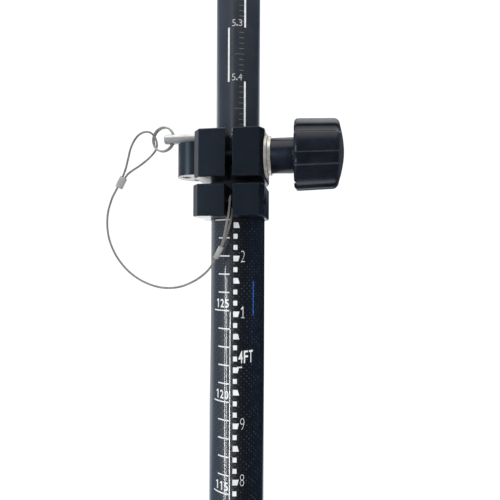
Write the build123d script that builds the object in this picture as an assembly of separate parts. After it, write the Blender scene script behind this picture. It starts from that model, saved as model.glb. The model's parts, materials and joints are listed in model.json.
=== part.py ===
from build123d import *
import os
from math import cos, pi, radians, sin, tan

# Telescoping prism pole for surveying. Millimetres.
# The origin is the tip of the steel point and +Z runs up the pole. The clamps open
# towards -Y, and the clamp knob stands out along +X.

os.makedirs("parts", exist_ok=True)

# ---------------------------------------------------------------- driving dimensions
FOOT = 304.8  # the foot scale and the pin holes follow it
READING = 5.5  # height of the prism seat at rest, in feet
PRESET_STEP = 0.5  # spacing of the pin holes, in feet
PRESET_LOW = 5.0
PRESET_COUNT = 8

TUBE_R = 15.875  # lower tube, carbon fibre, 1 1/4 inch outside
TUBE_BORE_R = 14.0
INNER_R = 12.7  # inner tube, aluminium, 1 inch outside
INNER_BORE_R = 11.05
INNER_LENGTH = 1346.0
RUN = 0.05  # radial clearance of parts that slide or turn
FIT = 0.03  # radial clearance of parts that are glued, gripped or screwed

LOWER_CLAMP_BOTTOM = 1301.0
LOWER_CLAMP_TOP = 1318.0  # also the lower tube's end
UPPER_CLAMP_BOTTOM = 1321.6
UPPER_CLAMP_TOP = 1347.1
CLAMP_HALF = 18.4  # from the pole's axis to the clamps' right sides
LOWER_CLAMP_LEFT = 19.9  # and to their left sides
UPPER_CLAMP_LEFT = 19.4
CLAMP_FRONT = 27.5  # from the pole's axis to the front faces
RIGHT_CORNER = (2.6, 4.0)  # chamfers of the front corners, along X and along Y
LEFT_CORNER = (3.2, 3.7)
CLAMP_EASE = 0.5  # chamfer round the clamps' ends
LOWER_SLOT = 4.6
UPPER_SLOT = 4.0

BOSS_X = -25.6  # round boss that holds the circular level
BOSS_R = 10.5
BOSS_BOTTOM = 1326.4
BOSS_TOP = 1345.6
BOSS_FLOOR = 1330.9
VIAL_BORE_R = 8.2
VIAL_CASE_R = 7.9
VIAL_CASE_BOTTOM = 1332.3
VIAL_LIQUID_BOTTOM = 1335.4
VIAL_LIQUID_TOP = 1341.6
VIAL_GLASS_R = 6.6
VIAL_LIP = 1344.9
VIAL_PAD_R = 3.5
BUBBLE_R = 4.0
BUBBLE_DEPTH = 1.1
VIAL_SCREW_R = 1.25
VIAL_SCREW_CIRCLE = 5.4

COLLET_BOTTOM = 1262.0
COLLET_TOP = 1345.4
COLLET_UPPER_R = 14.5
COLLET_SLIT = 1.2

SCREW_Y = -19.5  # axis of the knob and its screw
SCREW_Z = 1333.1
SCREW_R = 4.0  # M8
CLAMP_WASHER_R = 11.25
CLAMP_WASHER_THICK = 1.5
THRUST_WASHER_R = 10.2
KNOB_NECK_X = 21.85
KNOB_GRIP_X = 33.7
KNOB_END_X = 59.1
KNOB_NECK_R = 9.3
KNOB_GRIP_R = 18.5
KNOB_TAPER = 0.7  # the grip's radius shrinks by this towards its free end
KNOB_LOBES = 7
KNOB_FLUTE_ANGLE = 32.7  # first flute, up from the -Y direction
KNOB_FLUTE_R = 5.0
KNOB_FLUTE_DEPTH = 1.4
KNOB_NECK_EASE = 0.3
KNOB_RIM = 2.0  # rounding of the grip's edge beside the neck
KNOB_SHOULDER = 5.6  # where the rounding of the free end starts, back from that end
KNOB_DOME = 2.6  # height of the free end's dome
KNOB_STUD_DEPTH = 12.0  # of the stud's hole in the grip

CAP_SCREW_Y = -20.3  # M5 screw of the lower clamp
CAP_SCREW_Z = 1308.5
CAP_SCREW_R = 2.5
CAP_HEAD_R = 4.25
CAP_HEAD_LENGTH = 5.0

PIN_R = 3.0
PIN_Z = UPPER_CLAMP_TOP + PIN_R  # the pin lies on the clamp's top face
PIN_END_X = -44.9
PIN_TIP_X = -12.95  # just clear of the inner tube
PIN_EYE_X = -40.0
PIN_EYE_R = 1.75
PIN_HOLE_R = 3.15
PIN_TIP_LENGTH = 1.8
RING_R = 7.3  # middle of the split ring's wire
RING_LIFT = 0.8  # the ring's centre stands this far above the pin's axis
RING_PLAY = 0.5  # the wire's distance from the hole's axis
RING_BRIDGE_ANGLE = 205.0
RING_SWING = 13.0  # degrees that the ring swings back about the pin's hole
RING_WIRE_R = 0.6
RING_PITCH = 1.25  # one coil beside the other

ROPE_R = 0.6
FERRULE_WIDE = 4.7
FERRULE_THICK = 2.7
STRAND_HALF = 0.75  # each strand in a ferrule is this far from its middle
ROPE_HOLE_R = ROPE_R + 0.08

POINT_CONE_R = 6.5
POINT_CONE_TOP = 27.0
POINT_SHANK_R = 7.0  # M14
POINT_SHANK_TOP = 59.0
POINT_COLLAR_R = 9.5
POINT_BASE = 40.0  # where the collar meets the shoe
SHOE_R = TUBE_R + 0.6
SHOE_TAPER_TOP = 100.0
SHOE_BORE_R = 9.0
SHOE_VENT_R = 3.0
SHOE_SHOULDER = 112.0
SHOE_TOP = 138.0

SEAT_Z = READING * FOOT  # the prism seat
STUD_R = 7.9375  # 5/8-11
STUD_LENGTH = 14.0
STUD_ROOT_R = 6.0
STUD_ROOT_DEPTH = 20.0
THREAD_RELIEF = 1.0
HUB_R = 15.0  # the top adapter's hub, and the prism seat inside it
SEAT_R = 13.5
INNER_TOP = 1646.0
INNER_BOTTOM = INNER_TOP - INNER_LENGTH
BUSH_LENGTH = 45.0
CIRCLIP_THICK = 1.2
CIRCLIP_WIDE = 1.0
PLUG_FLANGE = 6.0  # of the bottom plug, under the inner tube
PLUG_DEPTH = 63.0
PLUG_BORE_R = 4.0
ADAPTER_DEPTH = 30.0  # of the top adapter's plug in the inner tube
RIVET_R = 1.6
RIVET_DEPTH = 5.0
RIVET_SUNK = 0.35  # below the inner tube's surface, so that the rivets pass the collet
RIVET_LOW_Z = INNER_BOTTOM + 54
RIVET_HIGH_Z = INNER_TOP - 15


def turned(profile, axis=Axis.Z):
    """A turned solid from (radius, height) points in the XZ plane."""
    return revolve(Plane.XZ * make_face(Polyline(*profile, close=True)), axis)


def rod(radius, bottom, top, x=0, y=0):
    """An upright cylinder between two heights."""
    return Pos(x, y, (bottom + top) / 2) * Cylinder(radius, top - bottom)


def rod_x(radius, start, end, y, z):
    """A cylinder along X."""
    middle = (start + end) / 2
    return Pos(middle, y, z) * Rot(0, 90, 0) * Cylinder(radius, end - start)


def ring_z(outer, inner, bottom, top):
    """An upright ring between two heights."""
    return rod(outer, bottom, top) - rod(inner, bottom - 1, top + 1)


def box_between(low, high):
    """A box from its lowest to its highest corner."""
    size = [h - l for l, h in zip(low, high)]
    middle = [(h + l) / 2 for l, h in zip(low, high)]
    return Pos(*middle) * Box(*size)


# ------------------------------------------------------------------------ foot
def point_tip():
    """Hardened point with a knurled collar and a shank that screws into the shoe."""
    return turned([
        (0, 0), (0.5, 0), (0.9, 0.5), (POINT_CONE_R, POINT_CONE_TOP),
        (POINT_CONE_R, POINT_BASE - 10.5), (POINT_COLLAR_R - 0.5, POINT_BASE - 10.5),
        (POINT_COLLAR_R, POINT_BASE - 10), (POINT_COLLAR_R, POINT_BASE - 0.5),
        (POINT_COLLAR_R - 0.5, POINT_BASE), (POINT_SHANK_R, POINT_BASE),
        (POINT_SHANK_R, POINT_SHANK_TOP - 1), (POINT_SHANK_R - 1, POINT_SHANK_TOP),
        (0, POINT_SHANK_TOP),
    ])


def shoe():
    """Tapered aluminium foot with a plug that is glued into the lower tube."""
    plug = TUBE_BORE_R - FIT
    bore = POINT_SHANK_R + FIT
    return turned([
        (bore, POINT_BASE), (POINT_COLLAR_R + 0.6, POINT_BASE),
        (POINT_COLLAR_R + 1, POINT_BASE + 0.6), (SHOE_R, SHOE_TAPER_TOP),
        (SHOE_R, SHOE_SHOULDER - 0.5), (SHOE_R - 0.5, SHOE_SHOULDER),
        (plug, SHOE_SHOULDER), (plug, SHOE_TOP - 1), (plug - 1, SHOE_TOP),
        (SHOE_BORE_R, SHOE_TOP), (SHOE_BORE_R, POINT_SHANK_TOP + 13),
        (SHOE_VENT_R, POINT_SHANK_TOP + 7), (SHOE_VENT_R, POINT_SHANK_TOP + 3),
        (bore, POINT_SHANK_TOP + 1),
    ])


# ----------------------------------------------------------------------- tubes
def lower_tube():
    """Carbon fibre tube from the shoe's shoulder to the lower clamp's top face."""
    return ring_z(TUBE_R, TUBE_BORE_R, SHOE_SHOULDER, LOWER_CLAMP_TOP)


def preset_heights():
    """Heights of the pin holes at rest: the hole of the present reading meets the pin."""
    for step in range(PRESET_COUNT):
        preset = PRESET_LOW + PRESET_STEP * step
        yield PIN_Z - (preset - READING) * FOOT


def inner_tube():
    """Aluminium tube with cross holes for the locking pin and for its rivets."""
    tube = ring_z(INNER_R, INNER_BORE_R, INNER_BOTTOM, INNER_TOP)
    for height in preset_heights():
        tube -= rod_x(PIN_HOLE_R, -20, 20, 0, height)
    for height in (RIVET_LOW_Z, RIVET_HIGH_Z):
        tube -= Pos(0, 0, height) * Rot(90, 0, 0) * Cylinder(RIVET_R + FIT, 60)
    return tube


def rivet_pair(height):
    """Two blind rivets on opposite sides of the inner tube."""
    middle = INNER_R - RIVET_SUNK - RIVET_DEPTH / 2
    rivet = Rot(90, 0, 0) * Cylinder(RIVET_R, RIVET_DEPTH)
    return Compound(children=[Pos(0, side * middle, height) * rivet for side in (-1, 1)])


def glide_bush():
    """Acetal bush round the inner tube's foot, which runs in the lower tube."""
    outer = TUBE_BORE_R - RUN
    inner = INNER_R + FIT
    low = INNER_BOTTOM
    return turned([
        (inner, low), (outer - 0.5, low), (outer, low + 1),
        (outer, low + BUSH_LENGTH - 1), (outer - 0.5, low + BUSH_LENGTH), (inner, low + BUSH_LENGTH),
    ])


def bush_circlip():
    """Open retaining ring above the glide bush."""
    low = INNER_BOTTOM + BUSH_LENGTH + 0.1
    ring = ring_z(INNER_R + CIRCLIP_WIDE, INNER_R + FIT, low, low + CIRCLIP_THICK)
    return ring - box_between((-1.5, 10, low - 1), (1.5, 16, low + 3))


def bottom_plug():
    """Aluminium plug in the inner tube's foot, with a flange under the bush."""
    plug = INNER_BORE_R - FIT
    low = INNER_BOTTOM - PLUG_FLANGE
    top = INNER_BOTTOM + PLUG_DEPTH
    body = turned([
        (PLUG_BORE_R, low), (INNER_R, low), (INNER_R + 0.6, low + 0.6), (INNER_R + 0.6, INNER_BOTTOM - 0.02),
        (plug, INNER_BOTTOM - 0.02), (plug, top - 1), (plug - 1, top), (PLUG_BORE_R, top),
    ])
    return body - Pos(0, 0, RIVET_LOW_Z) * Rot(90, 0, 0) * Cylinder(RIVET_R + FIT, 60)


def top_adapter():
    """Turned hub with a plug in the inner tube and the seat that the prism stands on."""
    plug = INNER_BORE_R - FIT
    body = turned([
        (0, INNER_TOP - ADAPTER_DEPTH), (plug - 1, INNER_TOP - ADAPTER_DEPTH),
        (plug, INNER_TOP - ADAPTER_DEPTH + 1),
        (plug, INNER_TOP + 0.02), (INNER_R, INNER_TOP + 0.02), (INNER_R, INNER_TOP + 5),
        (HUB_R, INNER_TOP + 10), (HUB_R, SEAT_Z - 5), (HUB_R - 0.9, SEAT_Z - 4.1),
        (HUB_R - 0.9, SEAT_Z - 0.6), (SEAT_R, SEAT_Z), (STUD_R + FIT, SEAT_Z),
        (STUD_R + FIT, SEAT_Z - THREAD_RELIEF), (STUD_ROOT_R + FIT, SEAT_Z - THREAD_RELIEF),
        (STUD_ROOT_R + FIT, SEAT_Z - STUD_ROOT_DEPTH), (0, SEAT_Z - STUD_ROOT_DEPTH),
    ])
    return body - Pos(0, 0, RIVET_HIGH_Z) * Rot(90, 0, 0) * Cylinder(RIVET_R + FIT, 60)


def prism_stud():
    """5/8-11 stud that the prism screws onto, with a thinner root in the adapter."""
    foot = SEAT_Z - STUD_ROOT_DEPTH + 0.1
    shoulder = SEAT_Z + 0.02
    top = SEAT_Z + STUD_LENGTH
    return turned([
        (0, foot), (STUD_ROOT_R, foot), (STUD_ROOT_R, shoulder), (STUD_R, shoulder),
        (STUD_R, top - 1), (STUD_R - 1, top), (0, top),
    ])


# ---------------------------------------------------------------------- clamps
def clamp_block(bottom, top, left):
    """U-shaped block: flat front with cut corners, flat sides and a half-round back."""
    right = CLAMP_HALF
    front = -CLAMP_FRONT
    sides = Polyline(
        (-left, 0), (-left, front + LEFT_CORNER[1]), (-left + LEFT_CORNER[0], front),
        (right - RIGHT_CORNER[0], front), (right, front + RIGHT_CORNER[1]), (right, 0),
    )
    back = ThreePointArc((right, 0), (0, right), (-left, 0))
    outline = make_face(sides + back)
    block = extrude(Plane.XY.offset(bottom) * outline, top - bottom)
    ends = block.edges().filter_by(lambda e: e.bounding_box().size.Z < 0.01)
    return chamfer(ends, CLAMP_EASE)


def lower_clamp():
    """Clamp that grips the lower tube round the collet's foot."""
    block = clamp_block(LOWER_CLAMP_BOTTOM, LOWER_CLAMP_TOP, LOWER_CLAMP_LEFT)
    block -= rod(TUBE_R + FIT, LOWER_CLAMP_BOTTOM - 1, LOWER_CLAMP_TOP + 1)
    half = LOWER_SLOT / 2
    block -= box_between((-half, -40, LOWER_CLAMP_BOTTOM - 1), (half, -10, LOWER_CLAMP_TOP + 1))
    block -= rod_x(CAP_SCREW_R + FIT, -CLAMP_HALF + 2, 30, CAP_SCREW_Y, CAP_SCREW_Z)
    seat = CLAMP_HALF - CAP_HEAD_LENGTH - 0.4
    block -= rod_x(CAP_HEAD_R + 0.2, seat, 30, CAP_SCREW_Y, CAP_SCREW_Z)
    return block


def lower_clamp_screw():
    """M5 socket cap screw. The lanyard's lower eye goes round its shank in the slot."""
    seat = CLAMP_HALF - CAP_HEAD_LENGTH - 0.35
    screw = rod_x(CAP_SCREW_R, -CLAMP_HALF + 3, seat + 1, CAP_SCREW_Y, CAP_SCREW_Z)
    screw += rod_x(CAP_HEAD_R, seat, seat + CAP_HEAD_LENGTH, CAP_SCREW_Y, CAP_SCREW_Z)
    key = extrude(Plane.YZ.offset(seat + 2.2) * RegularPolygon(2.3, 6), 10)
    return screw - Pos(0, CAP_SCREW_Y, CAP_SCREW_Z) * key


def upper_clamp():
    """Clamp that squeezes the collet on the inner tube, with the level's boss."""
    block = clamp_block(UPPER_CLAMP_BOTTOM, UPPER_CLAMP_TOP, UPPER_CLAMP_LEFT)
    boss = rod(BOSS_R, BOSS_BOTTOM, BOSS_TOP, BOSS_X)
    boss += box_between((BOSS_X, -BOSS_R, BOSS_BOTTOM), (-CLAMP_HALF + 3, BOSS_R, BOSS_TOP))
    block += boss
    block -= rod(COLLET_UPPER_R + RUN, UPPER_CLAMP_BOTTOM - 1, UPPER_CLAMP_TOP + 1)
    half = UPPER_SLOT / 2
    block -= box_between((-half, -40, UPPER_CLAMP_BOTTOM - 1), (half, -10, UPPER_CLAMP_TOP + 1))
    block -= rod_x(SCREW_R + 0.08, -30, 30, SCREW_Y, SCREW_Z)
    block -= rod(VIAL_BORE_R, BOSS_FLOOR, BOSS_TOP + 1, BOSS_X)
    for x, y in vial_screw_places():
        block -= rod(VIAL_SCREW_R + 0.1, BOSS_BOTTOM - 1, BOSS_FLOOR + 1, x, y)
        block -= Pos(x, y, BOSS_BOTTOM + 0.9) * Cone(2.6, VIAL_SCREW_R + 0.1, 1.8)
    return block


def collet():
    """Slit acetal sleeve: its foot sits in the lower tube, its head in the upper clamp."""
    bore = INNER_R + RUN
    foot = TUBE_BORE_R - FIT
    body = turned([
        (bore, COLLET_BOTTOM), (foot - 0.4, COLLET_BOTTOM), (foot, COLLET_BOTTOM + 0.8),
        (foot, LOWER_CLAMP_TOP + 0.02), (TUBE_R, LOWER_CLAMP_TOP + 0.02),
        (TUBE_R, UPPER_CLAMP_BOTTOM - 0.02), (COLLET_UPPER_R, UPPER_CLAMP_BOTTOM - 0.02),
        (COLLET_UPPER_R, COLLET_TOP), (bore, COLLET_TOP),
    ])
    for turn in range(2):
        slit = Pos(0, 0, COLLET_TOP) * Box(COLLET_SLIT, 40, 42)
        body -= Rot(0, 0, 45 + 90 * turn) * slit
    return body


# ------------------------------------------------------------------- clamp knob
def washer_x(outer, inner, start, end):
    """A washer on the knob's axis."""
    disc = rod_x(outer, start, end, SCREW_Y, SCREW_Z)
    return disc - rod_x(inner, start - 1, end + 1, SCREW_Y, SCREW_Z)


def clamp_washer():
    """Large steel washer against the clamp's side."""
    return washer_x(
        CLAMP_WASHER_R, SCREW_R + 0.2, CLAMP_HALF + FIT, CLAMP_HALF + CLAMP_WASHER_THICK
    )


def thrust_washer():
    """Small polished washer under the knob's neck."""
    start = CLAMP_HALF + CLAMP_WASHER_THICK + FIT
    return washer_x(THRUST_WASHER_R, SCREW_R + 0.1, start, KNOB_NECK_X - FIT)


def clamp_screw():
    """M8 stud, moulded into the knob, that crosses both ears of the upper clamp."""
    return rod_x(SCREW_R, -CLAMP_HALF + 0.4, KNOB_GRIP_X + KNOB_STUD_DEPTH, SCREW_Y, SCREW_Z)


def knob():
    """Moulded knob: thin neck, tapered grip with shallow flutes and a slightly domed end."""
    start, grip, end = KNOB_NECK_X, KNOB_GRIP_X, KNOB_END_X
    radius = KNOB_GRIP_R
    tip = radius - KNOB_TAPER
    rim, dome, shoulder = KNOB_RIM, KNOB_DOME, KNOB_SHOULDER
    shape = Polyline(
        (start, 0), (start, KNOB_NECK_R - KNOB_NECK_EASE), (start + KNOB_NECK_EASE, KNOB_NECK_R),
        (grip, KNOB_NECK_R), (grip, radius - rim),
    )
    shape += ThreePointArc(
        (grip, radius - rim), (grip + 0.3 * rim, radius - 0.3 * rim), (grip + rim, radius)
    )
    shape += Polyline((grip + rim, radius), (end - shoulder, tip))
    shape += ThreePointArc(
        (end - shoulder, tip), (end - 0.66 * shoulder, tip - 0.27 * dome), (end - dome, tip - dome)
    )
    shape += ThreePointArc((end - dome, tip - dome), (end - 0.25 * dome, tip / 2), (end, 1.5))
    shape += Polyline((end, 1.5), (end, 0), (start, 0))
    body = revolve(make_face(shape), Axis.X)
    for lobe in range(KNOB_LOBES):
        angle = radians(180 - KNOB_FLUTE_ANGLE + 360 / KNOB_LOBES * lobe)
        out = radius + KNOB_FLUTE_R - KNOB_FLUTE_DEPTH
        body -= rod_x(KNOB_FLUTE_R, grip - 1, end + 1, out * cos(angle), out * sin(angle))
    body -= rod_x(SCREW_R + 0.02, start - 1, grip + KNOB_STUD_DEPTH + 0.1, 0, 0)
    return Pos(0, SCREW_Y, SCREW_Z) * body


# --------------------------------------------------------------- circular level
def vial_screw_places():
    """Three adjusting screws, evenly spaced round the boss's axis."""
    for third in range(3):
        angle = radians(90 + 120 * third)
        yield BOSS_X + VIAL_SCREW_CIRCLE * cos(angle), VIAL_SCREW_CIRCLE * sin(angle)


def vial_case():
    """Turned cup that holds the level's glass, with blind holes for its screws."""
    cup = turned([
        (0, VIAL_CASE_BOTTOM), (VIAL_CASE_R - 0.4, VIAL_CASE_BOTTOM),
        (VIAL_CASE_R, VIAL_CASE_BOTTOM + 0.4), (VIAL_CASE_R, VIAL_LIP - 0.3),
        (VIAL_CASE_R - 0.3, VIAL_LIP), (VIAL_GLASS_R + FIT, VIAL_LIP),
        (VIAL_GLASS_R + FIT, VIAL_LIQUID_BOTTOM), (0, VIAL_LIQUID_BOTTOM),
    ])
    cup = Pos(BOSS_X, 0, 0) * cup
    for x, y in vial_screw_places():
        cup -= rod(VIAL_SCREW_R + FIT, VIAL_CASE_BOTTOM - 1, VIAL_CASE_BOTTOM + 2.2, x, y)
    return cup


def vial_liquid():
    """Tinted liquid with the bubble's hollow under the glass."""
    liquid = rod(VIAL_GLASS_R, VIAL_LIQUID_BOTTOM + 0.02, VIAL_LIQUID_TOP, BOSS_X)
    return liquid - Pos(BOSS_X, 0, VIAL_LIQUID_TOP + BUBBLE_R - BUBBLE_DEPTH) * Sphere(BUBBLE_R)


def vial_glass():
    """Glass disc of the level, slightly domed on top."""
    dome = turned([
        (0, VIAL_LIQUID_TOP + 0.02), (VIAL_GLASS_R, VIAL_LIQUID_TOP + 0.02),
        (VIAL_GLASS_R, VIAL_LIP - 1.0), (4.6, VIAL_LIP - 0.6), (2.2, VIAL_LIP - 0.4),
        (0, VIAL_LIP - 0.35),
    ])
    return Pos(BOSS_X, 0, 0) * dome


def vial_pad():
    """Rubber pad that the level's case tilts on."""
    return rod(VIAL_PAD_R, BOSS_FLOOR + 0.02, VIAL_CASE_BOTTOM - 0.02, BOSS_X)


def vial_screws():
    """Three countersunk screws that tilt the level's case."""
    screws = []
    for x, y in vial_screw_places():
        head = Pos(x, y, BOSS_BOTTOM + 0.95) * Cone(2.4, VIAL_SCREW_R, 1.5)
        shank = rod(VIAL_SCREW_R, BOSS_BOTTOM + 1.5, VIAL_CASE_BOTTOM + 2.0, x, y)
        screw = head + shank
        screw -= Pos(x, y, BOSS_BOTTOM + 0.3) * Box(0.6, 3.2, 1.2)
        screws.append(screw)
    return Compound(children=screws)


# ------------------------------------------------------------------ locking pin
def lock_pin():
    """Steel pin on the upper clamp's top face, with a rounded tip and a ring hole."""
    length = PIN_TIP_X - PIN_END_X
    tip = PIN_TIP_LENGTH
    profile = make_face(
        Polyline((0, 0), (0, PIN_R - 0.5), (0.5, PIN_R), (length - tip, PIN_R))
        + ThreePointArc((length - tip, PIN_R), (length - 0.5, PIN_R / 2 + 0.4), (length, 0.6))
        + Polyline((length, 0.6), (length, 0), (0, 0))
    )
    pin = Pos(PIN_END_X, 0, PIN_Z) * revolve(profile, Axis.X)
    return pin - rod(PIN_EYE_R, PIN_Z - 5, PIN_Z + 5, PIN_EYE_X)


def split_ring():
    """Ring of two coils side by side, joined by a short crossing, through the pin's hole."""
    centre_x = RING_PLAY - RING_R  # from the hole's axis
    coils = []
    for side in (-1, 1):
        coil = Rot(90, 0, 0) * Torus(RING_R, RING_WIRE_R)
        coils.append(Pos(centre_x, side * RING_PITCH / 2, 0) * coil)
    bridge_angle = radians(RING_BRIDGE_ANGLE)
    bridge = Pos(centre_x + RING_R * cos(bridge_angle), 0, RING_R * sin(bridge_angle))
    bridge *= Rot(90, 0, 0) * Cylinder(RING_WIRE_R * 0.8, RING_PITCH)
    ring = coils[0] + coils[1] + bridge
    return Pos(PIN_EYE_X, 0, PIN_Z + RING_LIFT) * Rot(0, 0, -RING_SWING) * ring


# ---------------------------------------------------------------------- lanyard
# Wire rope in one piece: its lower tail, the eye round the lower clamp's screw, the
# hanging arc, the eye through the split ring, and its upper tail.
LOWER_FERRULE_FOOT = Vector(-8.1, -21.05, 1278.7)
LOWER_FERRULE_HEAD = Vector(-5.0, -21.05, 1284.98)
UPPER_FERRULE_HEAD = Vector(-70.05, -3.0, 1327.35)
UPPER_FERRULE_FOOT = Vector(-73.24, -3.0, 1321.12)

ROPE_ROUTE = [
    # tail and lower eye
    (-7.99, -20.3, 1278.92), (-4.2, -20.3, 1286.6), (-2.3, -18.0, 1292.8), (-0.4, -16.95, 1300.6),
    (0.0, -16.85, 1307.4), (0.0, -17.3, 1312.1), (0.0, -23.3, 1312.2), (0.0, -24.0, 1306.4),
    (-0.9, -24.2, 1300.2), (-2.9, -22.6, 1292.0), (-4.3, -21.8, 1286.4),
    # hanging arc
    (-8.9, -21.8, 1277.1), (-12.2, -21.2, 1271.8), (-20.5, -19.6, 1265.8), (-31.8, -16.6, 1261.7),
    (-45.3, -13.2, 1261.9), (-60.0, -9.9, 1267.5), (-71.4, -7.4, 1277.5), (-78.6, -5.4, 1290.1),
    (-80.4, -4.0, 1303.9), (-77.5, -3.2, 1315.1), (-74.71, -3.0, 1319.9),
    # upper eye and tail
    (-69.26, -3.0, 1330.54), (-67.5, -2.7, 1338.4), (-65.8, -2.4, 1346.5), (-61.7, -2.0, 1353.4),
    (-55.9, -1.6, 1355.7), (-51.3, -1.0, 1353.1), (-51.7, 5.6, 1347.8), (-55.7, 5.8, 1342.4),
    (-61.4, 2.2, 1335.8), (-66.1, -2.0, 1331.0), (-68.74, -3.0, 1328.26), (-72.34, -3.0, 1321.23),
]


def corner_radii(route):
    """Each arc as large as its two runs allow."""
    points = [Vector(*place) for place in route]
    radii = []
    for before, corner, after in zip(points, points[1:], points[2:]):
        arriving = corner - before
        leaving = after - corner
        half_turn = radians(arriving.get_angle(leaving)) / 2
        radii.append(0.45 * min(arriving.length, leaving.length) / tan(half_turn))
    return radii


def lanyard():
    """The rope's tube: straight runs joined by tangent arcs."""
    radii = corner_radii(ROPE_ROUTE)
    path = FilletPolyline(*ROPE_ROUTE, radius=radii)
    section = Plane(origin=path @ 0, z_dir=path % 0) * Circle(ROPE_R)
    rope = sweep(section, path=path)
    expected = pi * ROPE_R**2 * path.length
    print("lanyard length", round(path.length, 1), "volume ratio", round(rope.volume / expected, 4))
    print("lanyard radii", [round(r, 1) for r in radii])
    return rope


def ferrule(foot, head, across):
    """Crimped oval sleeve with one hole for each strand."""
    along = head - foot
    plane = Plane(origin=foot, x_dir=across, z_dir=along)
    body = extrude(plane * SlotOverall(FERRULE_WIDE, FERRULE_THICK), along.length)
    for side in (-1, 1):
        hole = plane * Pos(side * STRAND_HALF, 0, 0) * Circle(ROPE_HOLE_R)
        body -= extrude(hole, along.length)
    return body


def ring_ferrule():
    """Ferrule of the upper eye. Its strands lie side by side across the eye."""
    along = UPPER_FERRULE_HEAD - UPPER_FERRULE_FOOT
    return ferrule(UPPER_FERRULE_FOOT, UPPER_FERRULE_HEAD, Vector(along.Z, 0, -along.X))


def clamp_ferrule():
    """Ferrule of the lower eye. Its strands lie one behind the other."""
    return ferrule(LOWER_FERRULE_FOOT, LOWER_FERRULE_HEAD, Vector(0, 1, 0))


NODES = [
    point_tip, shoe, lower_tube, collet, lower_clamp, lower_clamp_screw, upper_clamp,
    vial_case, vial_liquid, vial_glass, vial_pad, vial_screws,
    clamp_washer, thrust_washer, clamp_screw, knob,
    lock_pin, split_ring, ring_ferrule, clamp_ferrule, lanyard,
    inner_tube, glide_bush, bush_circlip, bottom_plug, top_adapter, prism_stud,
]


def main():
    """Write one file per node."""
    for build in NODES:
        export_step(build(), f"parts/{build.__name__}.step")
    export_step(rivet_pair(RIVET_LOW_Z), "parts/plug_rivets.step")
    export_step(rivet_pair(RIVET_HIGH_Z), "parts/adapter_rivets.step")


main()
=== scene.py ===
import json
from math import acos, ceil, cos, pi, radians, sin, tau

import bmesh
import bpy
import numpy as np
from mathutils import Matrix, Vector

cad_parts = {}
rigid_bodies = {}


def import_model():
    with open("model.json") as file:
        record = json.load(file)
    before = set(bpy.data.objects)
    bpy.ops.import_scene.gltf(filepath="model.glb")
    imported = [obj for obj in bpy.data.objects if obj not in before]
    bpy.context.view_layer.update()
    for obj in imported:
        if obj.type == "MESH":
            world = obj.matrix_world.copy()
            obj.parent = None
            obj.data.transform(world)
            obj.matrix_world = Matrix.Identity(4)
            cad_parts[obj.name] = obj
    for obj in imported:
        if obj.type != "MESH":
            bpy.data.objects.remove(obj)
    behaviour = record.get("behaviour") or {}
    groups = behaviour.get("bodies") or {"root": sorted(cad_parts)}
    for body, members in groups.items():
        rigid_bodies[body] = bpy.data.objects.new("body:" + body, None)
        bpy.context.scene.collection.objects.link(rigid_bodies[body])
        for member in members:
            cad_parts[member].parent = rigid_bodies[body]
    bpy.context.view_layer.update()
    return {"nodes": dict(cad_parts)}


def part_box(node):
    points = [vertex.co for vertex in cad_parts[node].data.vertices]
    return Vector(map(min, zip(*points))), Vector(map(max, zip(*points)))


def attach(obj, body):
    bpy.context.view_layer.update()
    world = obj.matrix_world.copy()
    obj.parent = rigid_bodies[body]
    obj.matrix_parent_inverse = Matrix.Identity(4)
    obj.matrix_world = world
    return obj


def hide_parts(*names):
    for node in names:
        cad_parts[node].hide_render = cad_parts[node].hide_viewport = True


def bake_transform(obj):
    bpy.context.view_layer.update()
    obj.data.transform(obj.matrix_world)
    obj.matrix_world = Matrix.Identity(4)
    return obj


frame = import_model()

# A telescoping prism pole. Metres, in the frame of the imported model: the steel point's tip is
# the origin, +Z runs up the pole, the clamps open towards -Y and the knob stands along +X.

MM = 0.001
FOOT = 0.3048
READING = 5.5  # feet read off the inner tube at the upper clamp's top face

TUBE_FOOT, TUBE_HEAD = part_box("lower_tube")
TUBE_R = TUBE_HEAD.x
TUBE_WALL = 1.875 * MM
TUBE_BORE_R = TUBE_R - TUBE_WALL
INNER_FOOT, INNER_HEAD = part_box("inner_tube")
INNER_R = INNER_HEAD.x
CLAMP_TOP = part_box("upper_clamp")[1].z
LOWER_CLAMP_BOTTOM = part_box("lower_clamp")[0].z

KNOB_LOW, KNOB_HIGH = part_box("knob")
SCREW_LOW, SCREW_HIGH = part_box("clamp_screw")
SCREW_Y = (SCREW_LOW.y + SCREW_HIGH.y) / 2
SCREW_Z = (SCREW_LOW.z + SCREW_HIGH.z) / 2
KNOB_R = 18.5 * MM
KNOB_TAPER = 0.7 * MM  # the grip's radius shrinks by this towards its free end
KNOB_BORE_R = 4.3 * MM
KNOB_NECK_R = 9.3 * MM
KNOB_GRIP_X = 33.7 * MM
KNOB_RIM = 1.9 * MM  # rounding of the grip's edge beside the neck
KNOB_SHOULDER = 5.6 * MM  # where the rounding of the free end starts, back from that end
KNOB_SHOULDER_R = 2.9 * MM
KNOB_DOME = 2.6 * MM
KNOB_LOBES = 7
KNOB_FLUTE_R = 5 * MM
KNOB_FLUTE_DEPTH = 1.4 * MM
KNOB_FLUTE_ANGLE = radians(32.7)  # first flute, up from the -Y direction
CLAMP_WASHER_BORE_R = 4.2 * MM
THRUST_WASHER_BORE_R = 4.1 * MM

PIN_EYE_X = -40 * MM
RING_R = 7.3 * MM
RING_PLAY = 0.5 * MM  # the wire's distance from the hole's axis
RING_WIRE_R = 0.6 * MM
RING_PITCH = 1.25 * MM  # one coil beside the other
RING_SWING = radians(13)  # back about the pin's hole
RING_START = radians(205)
RING_CROSSING = radians(32)  # the turn within which the wire steps from coil to coil

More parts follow.
